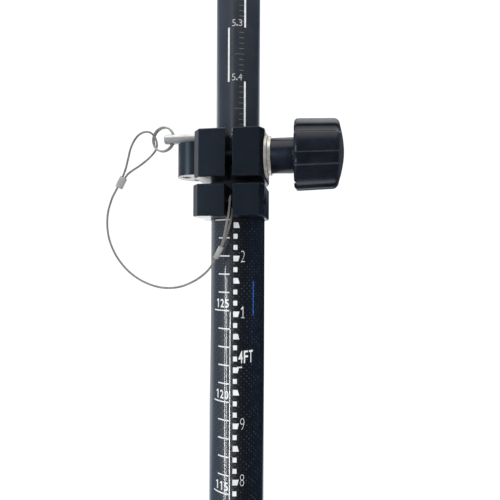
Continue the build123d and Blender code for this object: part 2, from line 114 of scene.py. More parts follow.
PRINT_THICK = 0.04 * MM
LINE_HALF = 0.35 * MM  # half the thickness of a scale's line
METRIC_MARKS = range(13, 131)  # centimetres above the point, as far as the lower tube goes
FOOT_BLOCKS = range(41, 427, 2)  # hundredths of a foot
FOOT_NUMBERS = range(5, 43)  # tenths of a foot
INNER_TENTHS = range(46, 86)  # tenths of a foot, as far as the inner tube goes
ROPE_R = 0.6 * MM

# The lanyard's route, in millimetres, point for point as the CAD source has it.
ROPE_ROUTE = [
    # tail and lower eye
    (-7.99, -20.3, 1278.92), (-4.2, -20.3, 1286.6), (-2.3, -18.0, 1292.8), (-0.4, -16.95, 1300.6),
    (0.0, -16.85, 1307.4), (0.0, -17.3, 1312.1), (0.0, -23.3, 1312.2), (0.0, -24.0, 1306.4),
    (-0.9, -24.2, 1300.2), (-2.9, -22.6, 1292.0), (-4.3, -21.8, 1286.4),
    # hanging arc
    (-8.9, -21.8, 1277.1), (-12.2, -21.2, 1271.8), (-20.5, -19.6, 1265.8), (-31.8, -16.6, 1261.7),
    (-45.3, -13.2, 1261.9), (-60.0, -9.9, 1267.5), (-71.4, -7.4, 1277.5), (-78.6, -5.4, 1290.1),
    (-80.4, -4.0, 1303.9), (-77.5, -3.2, 1315.1), (-74.71, -3.0, 1319.9),
    # upper eye and tail
    (-69.26, -3.0, 1330.54), (-67.5, -2.7, 1338.4), (-65.8, -2.4, 1346.5), (-61.7, -2.0, 1353.4),
    (-55.9, -1.6, 1355.7), (-51.3, -1.0, 1353.1), (-51.7, 5.6, 1347.8), (-55.7, 5.8, 1342.4),
    (-61.4, 2.2, 1335.8), (-66.1, -2.0, 1331.0), (-68.74, -3.0, 1328.26), (-72.34, -3.0, 1321.23),
]


# ------------------------------------------------------------------------------ camera
CAMERA_PLACE = (0.04031, -0.222, 1.281335)
CAMERA_YAW = radians(8.43)
CAMERA_PITCH = radians(90 + 0.543)
CAMERA_ROLL = radians(0.244)


def make_camera():
    """The main viewpoint: close in front of the clamps, a little below them."""
    data = bpy.data.cameras.new("camera")
    data.lens = 27.585
    data.sensor_width = 36
    data.clip_start = 0.01
    camera = bpy.data.objects.new("camera", data)
    place = Matrix.Translation(CAMERA_PLACE)
    yaw = Matrix.Rotation(CAMERA_YAW, 4, "Z")
    pitch = Matrix.Rotation(CAMERA_PITCH, 4, "X")
    roll = Matrix.Rotation(CAMERA_ROLL, 4, "Z")
    camera.matrix_world = place @ yaw @ pitch @ roll
    bpy.context.scene.collection.objects.link(camera)
    bpy.context.scene.camera = camera


# ----------------------------------------------------------------------- mesh building
def piece(name, skins, sharp=35):
    """One mesh object from (points, faces) skins, smooth but for edges sharper than that."""
    points = []
    faces = []
    for skin_points, skin_faces in skins:
        faces += [tuple(index + len(points) for index in face) for face in skin_faces]
        points += [tuple(point) for point in skin_points]
    mesh = bpy.data.meshes.new(name)
    mesh.from_pydata(points, [], faces)
    build = bmesh.new()
    build.from_mesh(mesh)
    bmesh.ops.recalc_face_normals(build, faces=build.faces)
    build.to_mesh(mesh)
    build.free()
    mesh.shade_smooth()
    mesh.set_sharp_from_angle(angle=radians(sharp))
    made = bpy.data.objects.new(name, mesh)
    bpy.context.scene.collection.objects.link(made)
    return made


def loft(loops, closed=False):
    """The skin over a row of equal loops. It joins the last to the first, or caps both."""
    rows, count = len(loops), len(loops[0])
    faces = []
    for row in range(rows if closed else rows - 1):
        a = row * count
        b = (row + 1) % rows * count
        for k in range(count):
            following = (k + 1) % count
            faces.append((a + k, a + following, b + following, b + k))
    if not closed:
        faces.append(tuple(range(count)))
        faces.append(tuple((rows - 1) * count + k for k in range(count)))
    return [point for loop in loops for point in loop], faces


def rounded(profile, radius, steps):
    """The closed profile with each corner turned into a short curve."""
    count = len(profile)
    result = []
    for index, corner in enumerate(profile):
        corner = Vector(corner)
        before = Vector(profile[index - 1]) - corner
        after = Vector(profile[(index + 1) % count]) - corner
        reach = min(radius, 0.4 * before.length, 0.4 * after.length)
        start = corner + before.normalized() * reach
        end = corner + after.normalized() * reach
        for step in range(steps + 1):
            t = step / steps
            result.append(tuple(start * (1 - t) ** 2 + corner * 2 * t * (1 - t) + end * t ** 2))
    return result


def ring_x(x, radius, count, y=0.0, z=0.0):
    """A circle, or a lobed loop where radius is a function of the angle, round an axis along X."""
    loop = []
    for k in range(count):
        angle = tau * k / count
        r = radius(angle) if callable(radius) else radius
        loop.append((x, y + r * cos(angle), z + r * sin(angle)))
    return loop


def ring_z(z, radius, count):
    """A circle, or a shaped loop where radius is a function of the angle, round the pole's axis."""
    loop = []
    for k in range(count):
        angle = tau * k / count
        r = radius(angle) if callable(radius) else radius
        loop.append((r * cos(angle), r * sin(angle), z))
    return loop


def steady_frames(line):
    """The line's tangents with two normals that turn as little as they can."""
    tangents = np.gradient(line, axis=0)
    tangents /= np.linalg.norm(tangents, axis=1)[:, None]
    first = []
    normal = np.cross(tangents[0], (0.3, 0.1, 0.9))
    for tangent in tangents:
        normal = normal - normal.dot(tangent) * tangent
        normal = normal / np.linalg.norm(normal)
        first.append(normal)
    first = np.array(first)
    return tangents, first, np.cross(tangents, first)


def sweep(line, radius, sides):
    """A round tube along a line of points, with capped ends."""
    _, first, second = steady_frames(line)
    loops = []
    for place, a, b in zip(line, first, second):
        loops.append([
            tuple(place + radius * (cos(tau * k / sides) * a + sin(tau * k / sides) * b))
            for k in range(sides)
        ])
    return loft(loops)


def smooth_line(route, resolution):
    """Points read from the smooth NURBS line that a route controls, in metres."""
    curve = bpy.data.curves.new("route", "CURVE")
    curve.dimensions = "3D"
    curve.resolution_u = resolution
    spline = curve.splines.new("NURBS")
    spline.points.add(len(route) - 1)
    for point, place in zip(spline.points, route):
        point.co = (place[0] * MM, place[1] * MM, place[2] * MM, 1)
    spline.order_u = 3
    spline.use_endpoint_u = True
    holder = bpy.data.objects.new("route", curve)
    mesh = bpy.data.meshes.new_from_object(holder)
    line = np.array([tuple(vertex.co) for vertex in mesh.vertices])
    bpy.data.meshes.remove(mesh)
    bpy.data.objects.remove(holder)
    bpy.data.curves.remove(curve)
    return line


# --------------------------------------------------------------------------- materials
class Shader:
    """Adds linked nodes to one new material. Numbers, colours and sockets may be given alike."""

    def __init__(self, name):
        self.material = bpy.data.materials.new(name)
        self.material.use_nodes = True
        self.nodes = self.material.node_tree.nodes
        self.links = self.material.node_tree.links
        self.nodes.clear()
        self.place = self.add("ShaderNodeTexCoord").outputs["Object"]

    def add(self, kind, inputs=None, **settings):
        node = self.nodes.new(kind)
        for key, value in settings.items():
            setattr(node, key, value)
        for key, value in (inputs or {}).items():
            socket = node.inputs[key]
            if isinstance(value, bpy.types.NodeSocket):
                self.links.new(value, socket)
            elif isinstance(value, tuple) and len(value) == 3 and socket.type == "RGBA":
                socket.default_value = (*value, 1)
            else:
                socket.default_value = value
        return node

    def math(self, operation, a, b=0.0):
        return self.add("ShaderNodeMath", {0: a, 1: b}, operation=operation).outputs[0]

    def stretch(self, low, high, value, to_low=0.0, to_high=1.0):
        """value, with low to high turned smoothly into to_low to to_high and cut off there."""
        node = self.add(
            "ShaderNodeMapRange",
            {"Value": value, "From Min": low, "From Max": high, "To Min": to_low, "To Max": to_high},
            interpolation_type="SMOOTHSTEP",
        )
        return node.outputs["Result"]

    def mix(self, share, a, b):
        node = self.add("ShaderNodeMix", data_type="RGBA")
        for key, value in ((0, share), (6, a), (7, b)):
            if isinstance(value, bpy.types.NodeSocket):
                self.links.new(value, node.inputs[key])
            elif key == 0:
                node.inputs[key].default_value = value
            else:
                node.inputs[key].default_value = (*value, 1)
        return node.outputs[2]

    def axis(self, name):
        return self.add("ShaderNodeSeparateXYZ", {0: self.place}).outputs[name]

    def noise(self, scale, detail=3.0, along=(1, 1, 1)):
        """Noise of that many features a metre; along stretches it by axis."""
        scaled = self.add("ShaderNodeMapping", {"Vector": self.place, "Scale": along}).outputs[0]
        node = self.add("ShaderNodeTexNoise", {"Vector": scaled, "Scale": scale, "Detail": detail})
        return node.outputs["Fac"]

    def edge_wear(self, radius):
        """1 on edges and 0 on faces, broken up by noise."""
        rounded_normal = self.add("ShaderNodeBevel", {"Radius": radius}, samples=4).outputs[0]
        flat_normal = self.add("ShaderNodeNewGeometry").outputs["Normal"]
        both = self.add(
            "ShaderNodeVectorMath", {0: rounded_normal, 1: flat_normal}, operation="DOT_PRODUCT"
        )
        edge = self.stretch(0.995, 0.9, both.outputs["Value"])
        return self.math("MULTIPLY", edge, self.stretch(0.35, 0.62, self.noise(420, 4)))

    def bump(self, height, distance, soft_edge=0.0):
        """A normal bumped by height; soft_edge also rounds the mesh's edges by that radius."""
        inputs = {"Height": height, "Distance": distance, "Strength": 1.0}
        if soft_edge:
            inputs["Normal"] = self.add("ShaderNodeBevel", {"Radius": soft_edge}, samples=4).outputs[0]
        return self.add("ShaderNodeBump", inputs).outputs[0]

    def finish(self, **inputs):
        named = {key.replace("_", " "): value for key, value in inputs.items()}
        surface = self.add("ShaderNodeBsdfPrincipled", named)
        self.add("ShaderNodeOutputMaterial", {"Surface": surface.outputs[0]})
        return self.material


def anodised(name, colour, rough, grain=0.02, drawn=False):
    """Black anodised aluminium: blasted grain, or fine drawn lines along the pole."""
    s = Shader(name)
    cloud = s.noise(55, 4)
    fine = s.noise(700, 3, (1, 1, 0.02)) if drawn else s.noise(5200, 2)
    worn = s.edge_wear(0.35 * MM)
    lighter = tuple(1.35 * part for part in colour)
    base = s.mix(s.stretch(0.3, 0.7, cloud), colour, lighter)
    base = s.mix(s.math("MULTIPLY", worn, 0.45), base, (0.09, 0.09, 0.1))
    roughness = s.math("ADD", s.stretch(0.25, 0.75, s.noise(90, 5), rough - 0.02, rough + 0.04),
                       s.math("MULTIPLY", fine, 0.05))
    return s.finish(
        Base_Color=base, Roughness=roughness, IOR=1.55,
        Normal=s.bump(fine, grain * MM, 0.3 * MM),
    )


def steel(name, colour, rough, brushed=None, tarnish=0.35, scratch=0.015, dull=0.0):
    """Metal with fine scratches, cloudy roughness and a little tarnish.

    brushed stretches the scratches by axis, scratch is their depth in millimetres, and dull is
    the share of the surface that has lost its shine.
    """
    s = Shader(name)
    fine = s.noise(2600, 4, brushed or (1, 1, 1))
    cloud = s.stretch(0.3, 0.7, s.noise(210, 5))
    darker = tuple(part * (1 - tarnish) for part in colour)
    base = s.mix(s.math("MULTIPLY", cloud, s.stretch(0.3, 0.75, fine, 0.5, 1.0)), colour, darker)
    roughness = s.math("ADD", s.stretch(0.0, 1.0, cloud, rough - 0.05, rough + 0.09),
                       s.math("MULTIPLY", fine, 0.08))
    return s.finish(
        Base_Color=base, Metallic=1.0 - dull, Roughness=roughness,
        Normal=s.bump(fine, scratch * MM, 0.2 * MM),
    )


def turned_steel(name, colour, rough, y, z):
    """Steel with the fine rings that a lathe leaves round an axis along X."""
    s = Shader(name)
    groove = 0.16 * MM
    across = s.math("SUBTRACT", s.axis("Y"), y)
    up = s.math("SUBTRACT", s.axis("Z"), z)
    radius = s.math("SQRT", s.math("ADD", s.math("MULTIPLY", across, across), s.math("MULTIPLY", up, up)))
    rings = s.math("SINE", s.math("MULTIPLY", radius, tau / groove))
    cloud = s.stretch(0.3, 0.72, s.noise(300, 5))
    base = s.mix(cloud, colour, tuple(0.62 * part for part in colour))
    height = s.math("ADD", s.math("MULTIPLY", rings, 0.5), s.noise(1500, 3))
    return s.finish(
        Base_Color=base, Metallic=0.6,
        Roughness=s.stretch(0.0, 1.0, cloud, rough, rough + 0.12),
        Normal=s.bump(height, 0.006 * MM, 0.15 * MM),
    )


def carbon_tube():
    """Plain-woven carbon fibre under a glossy clear coat, with a painted glint on the top of each tow of one
    set and painted sheen on the tows of the other set.
    """
    s = Shader("carbon_weave")
    tow = 1.5 * MM
    turn = s.math("ARCTAN2", s.axis("X"), s.math("MULTIPLY", s.axis("Y"), -1.0))
    around = s.math("MULTIPLY", turn, round(TUBE_R * pi / tow) / pi)
    along = s.math("DIVIDE", s.axis("Z"), tow)
    wander = s.math("MULTIPLY", s.math("SUBTRACT", s.noise(70, 2), 0.5), 0.7)
    around = s.math("ADD", around, wander)
    wave_around = s.math("SINE", s.math("MULTIPLY", around, pi))
    wave_along = s.math("SINE", s.math("MULTIPLY", along, pi))
    crossing = s.math("MULTIPLY", wave_around, wave_along)
    painted_glint = s.stretch(0.45, 1.0, crossing)
    painted_tow_sheen = s.stretch(0.35, 1.0, s.math("MULTIPLY", crossing, -1.0))
    fibres = s.noise(1900, 2, (1, 1, 0.25))
    # painted sheen: the tows of one set are painted a little lighter than the rest, darkest where the tows
    # meet
    cloth = s.mix(painted_tow_sheen, (0.0015, 0.004, 0.009), (0.006, 0.013, 0.024))
    patch = s.stretch(0.35, 0.68, s.noise(260, 3), 0.12, 1.0)
    # painted glint: the top of each tow of the other set is painted light, stronger in patches
    cloth = s.mix(s.math("MULTIPLY", painted_glint, patch), cloth, (0.065, 0.085, 0.105))
    cloth = s.mix(s.math("MULTIPLY", fibres, 0.25), cloth, (0.003, 0.005, 0.01))
    dust = s.stretch(0.62, 0.8, s.noise(900, 4), 0.0, 0.1)
    cloth = s.mix(dust, cloth, (0.2, 0.2, 0.2))
    weave = s.bump(s.math("ADD", crossing, s.math("MULTIPLY", fibres, 0.4)), 0.03 * MM)
    coat = s.bump(s.noise(130, 2), 0.01 * MM)
    return s.finish(
        Base_Color=cloth, Roughness=0.42, IOR=1.45, Normal=weave,
        Coat_Weight=1.0, Coat_Roughness=s.stretch(0.3, 0.7, s.noise(240, 4), 0.012, 0.03),
        Coat_Normal=coat,
    )


def printed(name, colour, missing=0.12):
    """Screen-printed ink with pinholes and slightly uneven cover."""
    s = Shader(name)
    pinholes = s.stretch(0.66, 0.78, s.noise(2600, 3), 0.0, missing * 4)
    grey = tuple(0.82 * part for part in colour)
    base = s.mix(s.stretch(0.35, 0.7, s.noise(350, 4)), colour, grey)
    base = s.mix(pinholes, base, (0.12, 0.13, 0.14))
    return s.finish(
        Base_Color=base, Roughness=s.stretch(0.3, 0.7, s.noise(600, 3), 0.35, 0.5),
        Normal=s.bump(s.noise(3000, 2), 0.01 * MM),
    )


def plastic(name, colour, rough, grain):
    """Moulded plastic with a fine spark-eroded grain and faint scuffs on its edges."""
    s = Shader(name)
    worn = s.edge_wear(0.5 * MM)
    lighter = tuple(1.9 * part + 0.002 for part in colour)
    base = s.mix(s.stretch(0.3, 0.7, s.noise(80, 5)), colour, lighter)
    base = s.mix(s.math("MULTIPLY", worn, 0.35), base, (0.08, 0.08, 0.085))
    fine = s.noise(3400, 3)
    return s.finish(
        Base_Color=base, IOR=1.5,
        Roughness=s.stretch(0.3, 0.72, s.noise(260, 5), rough - 0.06, rough + 0.08),
        Normal=s.bump(fine, grain * MM, 0.25 * MM),
    )


def knob_plastic():
    """Black plastic with a painted highlight along each ridge of the grip, and a matt domed end."""
    s = Shader("knob_plastic")
    dusty = s.stretch(0.3, 0.7, s.noise(80, 5))
    base = s.mix(dusty, (0.005, 0.006, 0.0105), (0.012, 0.013, 0.022))
    across = s.math("SUBTRACT", s.axis("Y"), SCREW_Y)
    up = s.math("SUBTRACT", s.axis("Z"), SCREW_Z)
    turn = s.math("SUBTRACT", s.math("ARCTAN2", up, across), pi - KNOB_FLUTE_ANGLE)
    from_flute = s.math("PINGPONG", turn, pi / KNOB_LOBES)
    out = KNOB_R + KNOB_FLUTE_R - KNOB_FLUTE_DEPTH
    ridge = acos((KNOB_R ** 2 + out ** 2 - KNOB_FLUTE_R ** 2) / (2 * KNOB_R * out))
    from_ridge = s.math("ABSOLUTE", s.math("SUBTRACT", from_flute, ridge))
    # painted highlight: the base colour is made lighter along each ridge of the grip
    sheen = s.stretch(0.02, 0.008, from_ridge, 0, s.stretch(0.3, 0.6, s.noise(150, 4), 0.35, 0.7))
    on_grip = s.stretch(KNOB_GRIP_X, KNOB_GRIP_X + 1 * MM, s.axis("X"))
    base = s.mix(s.math("MULTIPLY", sheen, on_grip), base, (0.055, 0.058, 0.066))
    end = KNOB_HIGH.x - 3.5 * MM
    matt = s.stretch(end - 1 * MM, end + 1 * MM, s.axis("X"))
    base = s.mix(matt, base, (0.03, 0.034, 0.042))
    return s.finish(
        Base_Color=base, IOR=1.5, Specular_IOR_Level=s.stretch(0, 1, matt, 0.5, 0),
        Roughness=s.stretch(0.3, 0.72, s.noise(260, 5), 0.14, 0.28),
        Normal=s.bump(s.noise(3400, 3), 0.005 * MM, 0.25 * MM),
    )


def acetal():
    """White acetal, a little translucent, with machining marks and grey handling dirt."""
    s = Shader("acetal_white")
    dirt = s.stretch(0.45, 0.75, s.noise(180, 5))
    base = s.mix(dirt, (0.72, 0.7, 0.64), (0.5, 0.48, 0.43))
    rings = s.noise(1400, 2, (0.1, 0.1, 1))
    return s.finish(
        Base_Color=base, Roughness=s.stretch(0.3, 0.7, s.noise(400, 3), 0.38, 0.5),
        Subsurface_Weight=0.15, Subsurface_Radius=(0.002, 0.002, 0.0015), Subsurface_Scale=1.0,
        Normal=s.bump(rings, 0.01 * MM, 0.2 * MM),
    )


def rubber():
    """Matt black rubber, a little dusty."""
    s = Shader("rubber_pad")
    base = s.mix(s.noise(500, 4), (0.01, 0.01, 0.01), (0.03, 0.03, 0.03))
    return s.finish(Base_Color=base, Roughness=0.8, Normal=s.bump(s.noise(2500, 3), 0.02 * MM))


def level_liquid():
    """Green-tinted level fluid."""
    s = Shader("level_fluid")
    tint = s.mix(s.noise(90, 2), (0.5, 0.85, 0.12), (0.62, 0.92, 0.2))
    return s.finish(Base_Color=tint, Roughness=0.02, IOR=1.36, Transmission_Weight=0.85)


def level_glass():
    """Clear level glass with faint smears."""
    s = Shader("level_glass")
    smear = s.stretch(0.45, 0.8, s.noise(320, 5), 0.0, 0.16)
    tint = s.mix(s.noise(60, 2), (0.97, 1.0, 0.98), (0.9, 0.97, 0.92))
    return s.finish(Base_Color=tint, Roughness=smear, IOR=1.5, Transmission_Weight=1.0)


def floor_paint():
    """Pale matt floor."""
    s = Shader("floor_pale")
    base = s.mix(s.noise(0.8, 4), (0.95, 0.95, 0.95), (0.93, 0.93, 0.93))
    return s.finish(
        Base_Color=base, Roughness=0.7, Specular_IOR_Level=0.0, Normal=s.bump(s.noise(60, 3), 0.05 * MM)
    )


def paint(thing, material):
    """Gives a piece or a CAD node its material, in every slot it has."""
    if not thing.data.materials:
        thing.data.materials.append(material)
    for index in range(len(thing.data.materials)):
        thing.data.materials[index] = material


# ----------------------------------------------------------------------------- lanyard
def make_lanyard(material):
    """Wire rope: six strands laid round a core."""
    line = smooth_line(ROPE_ROUTE, 22)
    length = np.linalg.norm(np.diff(line, axis=0), axis=1)
    along = np.concatenate([[0], np.cumsum(length)])
    _, first, second = steady_frames(line)
    strand_r = ROPE_R / 3
    lay = 7.2 * MM
    skins = [sweep(line, strand_r * 1.05, 6)]
    for strand in range(6):
        turn = tau * (along / lay + strand / 6)
        offset = np.cos(turn)[:, None] * first + np.sin(turn)[:, None] * second
        skins.append(sweep(line + offset * strand_r * 2, strand_r * 1.04, 6))
    rope = piece("wire_rope", skins, sharp=80)
    paint(rope, material)
    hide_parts("lanyard")
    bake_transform(rope)
    return rope, line, along[-1]


def make_ferrule(name, node, foot, head, across, material):
    """Oval sleeve with rolled ends and three crimping dents, round two strands."""
    foot, head, across = (np.array(v) * MM for v in (foot, head, across))
    axis = head - foot
    length = np.linalg.norm(axis)
    axis = axis / length
    across = across - across.dot(axis) * axis
    across = across / np.linalg.norm(across)
    deep = np.cross(axis, across)
    half_wide = 2.33 * MM
    half_thick = 1.33 * MM
    wall = 0.42 * MM
    count = 40
    loops = []
    outer = [(0.0, -0.3), (0.01, -0.1), (0.04, 0.0)]
    outer += [(0.04 + 0.92 * k / 36, 0.0) for k in range(1, 36)]
    outer += [(0.96, 0.0), (0.99, -0.1), (1.0, -0.3)]
    inner = [(1.0, -wall / MM), (0.5, -wall / MM), (0.0, -wall / MM)]
    for share, inset in outer + inner:
        dent = 0.0
        if inset == 0.0:
            dent = 0.17 * max(0.0, cos(tau * 3 * share - pi)) ** 3
        place = foot + axis * length * share
        loop = []
        for k in range(count):
            angle = tau * k / count
            wide = half_wide + inset * MM
            thick = half_thick + (inset - dent * abs(sin(angle))) * MM
            u = cos(angle)
            v = sin(angle)
            power = 2.6
            scale = (abs(u) ** power + abs(v) ** power) ** (-1 / power)
            loop.append(tuple(place + across * wide * u * scale + deep * thick * v * scale))
        loops.append(loop)
    sleeve = piece(name, [loft(loops, closed=True)], sharp=50)
    paint(sleeve, material)
    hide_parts(node)
    return sleeve


# ----------------------------------------------------------------------- printed scales
class Print:
    """Ink shapes laid out flat, as (distance round the tube, height), then wrapped round it."""

    def __init__(self):
        self.flat = bmesh.new()

    def shape(self, corners):
        made = [self.flat.verts.new((x, z, 0)) for x, z in corners]
        self.flat.faces.new(made)

    def block(self, left, right, bottom, top):
        self.shape([(left, bottom), (right, bottom), (right, top), (left, top)])

    def one(self, left, right, bottom, top, bold):
        """The figure one: a stem with a flag, and a foot in the thin figures."""
        tall = top - bottom
        half = tall * (0.055 + bold)
        middle = (left + right) / 2 + 0.08 * (right - left)
        self.block(middle - half, middle + half, bottom, top)
        self.shape([(middle - half, top), (middle - half, top - 0.19 * tall), (left, top - 0.3 * tall),
                    (left, top - 0.17 * tall)])
        if bold <= 0:
            self.block(left, middle - half, bottom, bottom + 2 * half)
            self.block(middle + half, right, bottom, bottom + 2 * half)

    def number(self, body, left, right, bottom, top, bold):
        """Figures and letters in equal cells between left and right; a point takes less."""
        wide = {".": 0.45}
        cell = (right - left) / sum(wide.get(sign, 1.0) for sign in body)
        gap = 0.1 * cell
        for sign in body:
            end = left + cell * wide.get(sign, 1.0)
            if sign == "1":
                self.one(left + 1.6 * gap, end - 1.6 * gap, bottom, top, bold)
            elif sign == ".":
                self.block(left + gap, end - gap, bottom, bottom + 0.8 * (end - left))
            else:
                self.text(sign, left + gap, end - gap, bottom, top, bold)
            left = end

    def text(self, body, left, right, bottom, top, bold):
        """One sign of the built-in font, stretched to fill a box."""
        curve = bpy.data.curves.new("text", "FONT")
        curve.body = body
        curve.offset = bold
        curve.resolution_u = 4
        holder = bpy.data.objects.new("text", curve)
        mesh = bpy.data.meshes.new_from_object(holder)
        points = np.array([tuple(vertex.co) for vertex in mesh.vertices])[:, :2]
        low = points.min(0)
        size = points.max(0) - low
        grow = (right - left, top - bottom) / size
        placed = [
            self.flat.verts.new((left + (x - low[0]) * grow[0], bottom + (z - low[1]) * grow[1], 0))
            for x, z in points
        ]
        for face in mesh.polygons:
            self.flat.faces.new([placed[k] for k in face.vertices])
        bpy.data.meshes.remove(mesh)
        bpy.data.objects.remove(holder)
        bpy.data.curves.remove(curve)

    def wrap(self, name, radius):
        """The ink as a thin raised skin round a tube of that radius."""
        flat = self.flat
        reach = max(abs(vertex.co.x) for vertex in flat.verts)
        step = 0.8 * MM
        for index in range(-ceil(reach / step), ceil(reach / step) + 1):
            everything = flat.verts[:] + flat.edges[:] + flat.faces[:]
            bmesh.ops.bisect_plane(flat, geom=everything, plane_co=(index * step, 0, 0), plane_no=(1, 0, 0))
        raised = bmesh.ops.extrude_face_region(flat, geom=flat.faces[:])["geom"]
        for item in raised:
            if isinstance(item, bmesh.types.BMVert):
                item.co.z = 1.0
        for vertex in flat.verts:
            angle = vertex.co.x / radius
            r = radius + (PRINT_THICK if vertex.co.z > 0.5 else -PRINT_THICK)
            vertex.co = (r * sin(angle), -r * cos(angle), vertex.co.y)
        bmesh.ops.recalc_face_normals(flat, faces=flat.faces)
        mesh = bpy.data.meshes.new(name)
        flat.to_mesh(mesh)
        flat.free()
        made = bpy.data.objects.new(name, mesh)
        bpy.context.scene.collection.objects.link(made)
        return made


def at_angle(radius):
    """Turns degrees round a tube, counted from the clamps' side towards the knob, into a distance."""
    return lambda degrees: radians(degrees) * radius


def make_metric_scale(material):
    """Centimetres up the lower tube, numbered every five."""
    ink = Print()
    at = at_angle(TUBE_R)
    short, long, right = at(-30.2), at(-41.5), at(-5.7)
    figure = at(30.9) / 3
    for centimetre in METRIC_MARKS:
        height = centimetre * 10 * MM
        numbered = centimetre % 5 == 0
        left = long if numbered else short
        ink.block(left, right, height - LINE_HALF, height + LINE_HALF)
        if numbered and height < LOWER_CLAMP_BOTTOM - 8 * MM:
            body = str(centimetre)
            ink.number(body, right - len(body) * figure, right, height + 1.6 * MM, height + 6.3 * MM, 0.02)
    scale = ink.wrap("metric_scale", TUBE_R)
    paint(scale, material)
    return scale


def make_foot_scale(material):
    """Feet up the lower tube: a block every second hundredth, spurs at fives and tenths."""
    ink = Print()
    at = at_angle(TUBE_R)
    left, right, spur = at(2.2), at(10.2), at(14.6)
    hundredth = FOOT / 100
    for step in FOOT_BLOCKS:
        foot = step * hundredth
        if step % 10 == 9:  # the block that ends on a tenth
            ink.shape([(left, foot + hundredth), (left, foot), (right + (spur - right) * 0.3, foot),
                       (spur, foot + hundredth)])
        elif step % 10 == 5:  # the block that starts on a half tenth
            ink.shape([(left, foot + hundredth), (left, foot), (spur, foot),
                       (right + (spur - right) * 0.3, foot + hundredth)])
        else:
            ink.block(left, right, foot + 0.2 * MM, foot + hundredth - 0.2 * MM)
    for tenth in FOOT_NUMBERS:
        height = tenth * FOOT / 10
        if tenth % 10:
            ink.number(str(tenth % 10), at(16.0), at(26.3), height - 3.6 * MM, height + 2.7 * MM, -0.03)
        else:
            ink.block(right, at(20.2), height - LINE_HALF, height + LINE_HALF)
            ink.number(f"{tenth // 10}FT", at(12.0), at(44.1), height + 2.2 * MM, height + 9 * MM, 0.01)
    scale = ink.wrap("foot_scale", TUBE_R)
    paint(scale, material)
    return scale


def inner_height(reading):
    """The height at rest of a reading on the inner tube, whose numbers grow downwards."""
    return CLAMP_TOP - (reading - READING) * FOOT


def make_inner_scale(bar_ink, label_ink, faint_ink):
    """Feet down the inner tube: bars that change sides at each tenth, with faint hundredths."""
    bars = Print()
    labels = Print()
    faint = Print()
    at = at_angle(INNER_R)
    for tenth in INNER_TENTHS:
        top = inner_height(tenth / 10)
        bottom = inner_height((tenth + 1) / 10)
        if tenth % 2:
            bars.block(at(-17.0), at(-12.4), bottom, top)
        else:
            bars.block(at(24.8), at(29.4), bottom, top)
        labels.number(f"{tenth / 10:.1f}", at(-7.2), at(20.6), top + 0.5 * MM, top + 4.2 * MM, -0.012)
        for hundredth in range(1, 10):
            height = inner_height(tenth / 10 + hundredth / 100)
            start = 0.9 if hundredth == 5 else 12.2
            faint.block(at(start), at(24.2), height - 0.11 * MM, height + 0.11 * MM)
    made = []
    for ink, name, material in (
        (bars, "inner_scale_bars", bar_ink), (labels, "inner_scale_labels", label_ink),
        (faint, "inner_scale_marks", faint_ink),
    ):
        made.append(ink.wrap(name, INNER_R))
        paint(made[-1], material)
    return made


# -------------------------------------------------------------------------------- tubes
def make_lower_tube(material):
    """The carbon tube, round and with eased ends."""
    straight = 2 * MM  # loops near the ends keep the long wall's shading level
    profile = rounded([
        (TUBE_R, TUBE_FOOT.z), (TUBE_R, TUBE_FOOT.z + straight), (TUBE_R, TUBE_HEAD.z - straight),
        (TUBE_R, TUBE_HEAD.z), (TUBE_BORE_R, TUBE_HEAD.z), (TUBE_BORE_R, TUBE_HEAD.z - straight),
        (TUBE_BORE_R, TUBE_FOOT.z + straight), (TUBE_BORE_R, TUBE_FOOT.z),
    ], 0.4 * MM, 3)
    tube = piece("carbon_tube", [loft([ring_z(z, r, 192) for r, z in profile], closed=True)])
    paint(tube, material)
    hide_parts("lower_tube")
    return tube


# ----------------------------------------------------------------- knob, screw, washers
def flute_radius(angle):
    """The knob's lobed outline: a circle with scallops, joined by soft edges."""
    pitch = tau / KNOB_LOBES
    first = pi - KNOB_FLUTE_ANGLE
    away = (angle - first + pitch / 2) % pitch - pitch / 2
    out = KNOB_R + KNOB_FLUTE_R - KNOB_FLUTE_DEPTH
    side = out * sin(away)
    if abs(side) >= KNOB_FLUTE_R:
        return KNOB_R
    scallop = out * cos(away) - (KNOB_FLUTE_R ** 2 - side ** 2) ** 0.5
    soft = 0.3 * MM
    share = min(1.0, max(0.0, 0.5 + 0.5 * (scallop - KNOB_R) / soft))
    return scallop + (KNOB_R - scallop) * share - soft * share * (1 - share)


